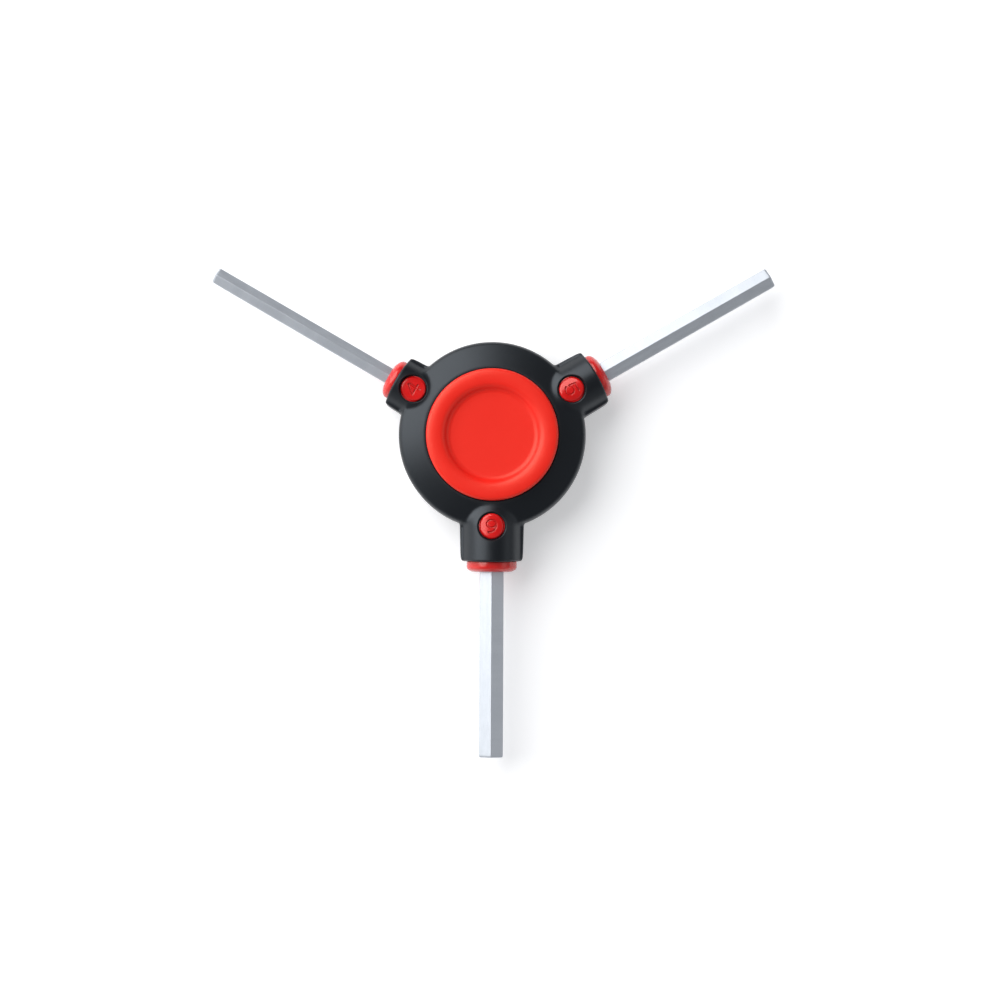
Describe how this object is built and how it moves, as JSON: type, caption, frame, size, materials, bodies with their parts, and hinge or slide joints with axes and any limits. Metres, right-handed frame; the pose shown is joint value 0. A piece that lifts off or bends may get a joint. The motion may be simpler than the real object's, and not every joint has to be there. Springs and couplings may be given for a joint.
{
  "type": "three-way hex wrench",
  "caption": "Y-shaped hex key tool: a round moulded hub with a dished thumb cap and hex bits of rising size in sockets at 120 degrees.",
  "frame": {"origin": "middle of the rear cap's flat outer face, on the hub's axis, in the plane that the tool lies on", "axes": "+Z leaves the numbered front face, +Y points away from the 6 mm bit between the other two, and +X is towards the 5 mm bit's side"},
  "size_m": [0.141, 0.1223, 0.0173],
  "materials": {
    "black_nylon": "moulded black nylon with a fine satin texture",
    "red_elastomer": "smooth satin red elastomer",
    "red_plastic": "satin moulded red plastic",
    "plated_steel": "satin plated, drawn grain along the bar",
    "machined_steel": "turned and milled",
    "blackened_steel": "black oxide"
  },
  "bodies": {
    "hub": {"front_shell": "black_nylon", "rear_shell": "black_nylon", "steel_core": "machined_steel", "front_cap": "red_elastomer", "rear_cap": "red_elastomer", "collar_6mm": "red_plastic", "collar_5mm": "red_plastic", "collar_4mm": "red_plastic", "shell_screw_1": "blackened_steel", "shell_screw_2": "blackened_steel", "shell_screw_3": "blackened_steel"},
    "bit_6mm": {"hex_bit_6mm": "plated_steel"},
    "bit_5mm": {"hex_bit_5mm": "plated_steel"},
    "bit_4mm": {"hex_bit_4mm": "plated_steel"},
    "plug_6mm": {"size_plug_6mm": "red_plastic"},
    "plug_5mm": {"size_plug_5mm": "red_plastic"},
    "plug_4mm": {"size_plug_4mm": "red_plastic"},
    "grub_6mm": {"set_screw_6mm": "blackened_steel"},
    "grub_5mm": {"set_screw_5mm": "blackened_steel"},
    "grub_4mm": {"set_screw_4mm": "blackened_steel"}
  },
  "joints": [
    {"name": "bit_slide_6mm", "type": "slide", "parent": "hub", "child": "bit_6mm", "axis": [0, -1, 0], "range_m": [0, 0.026]},
    {"name": "bit_slide_5mm", "type": "slide", "parent": "hub", "child": "bit_5mm", "axis": [0.866, 0.5, 0], "range_m": [0, 0.024]},
    {"name": "bit_slide_4mm", "type": "slide", "parent": "hub", "child": "bit_4mm", "axis": [-0.866, 0.5, 0], "range_m": [0, 0.022]},
    {"name": "plug_pull_6mm", "type": "slide", "parent": "hub", "child": "plug_6mm", "axis": [0, 0, 1], "range_m": [0, 0.006]},
    {"name": "plug_pull_5mm", "type": "slide", "parent": "hub", "child": "plug_5mm", "axis": [0, 0, 1], "range_m": [0, 0.006]},
    {"name": "plug_pull_4mm", "type": "slide", "parent": "hub", "child": "plug_4mm", "axis": [0, 0, 1], "range_m": [0, 0.006]},
    {"name": "grub_turn_6mm", "type": "hinge", "parent": "hub", "child": "grub_6mm", "pos_m": [0, -0.02275, 0.00866], "axis": [0, 0, 1], "range_deg": [0, 540]},
    {"name": "grub_turn_5mm", "type": "hinge", "parent": "hub", "child": "grub_5mm", "pos_m": [0.0197, 0.01137, 0.00866], "axis": [0, 0, 1], "range_deg": [0, 540]},
    {"name": "grub_turn_4mm", "type": "hinge", "parent": "hub", "child": "grub_4mm", "pos_m": [-0.0197, 0.01137, 0.00866], "axis": [0, 0, 1], "range_deg": [0, 540]}
  ]
}
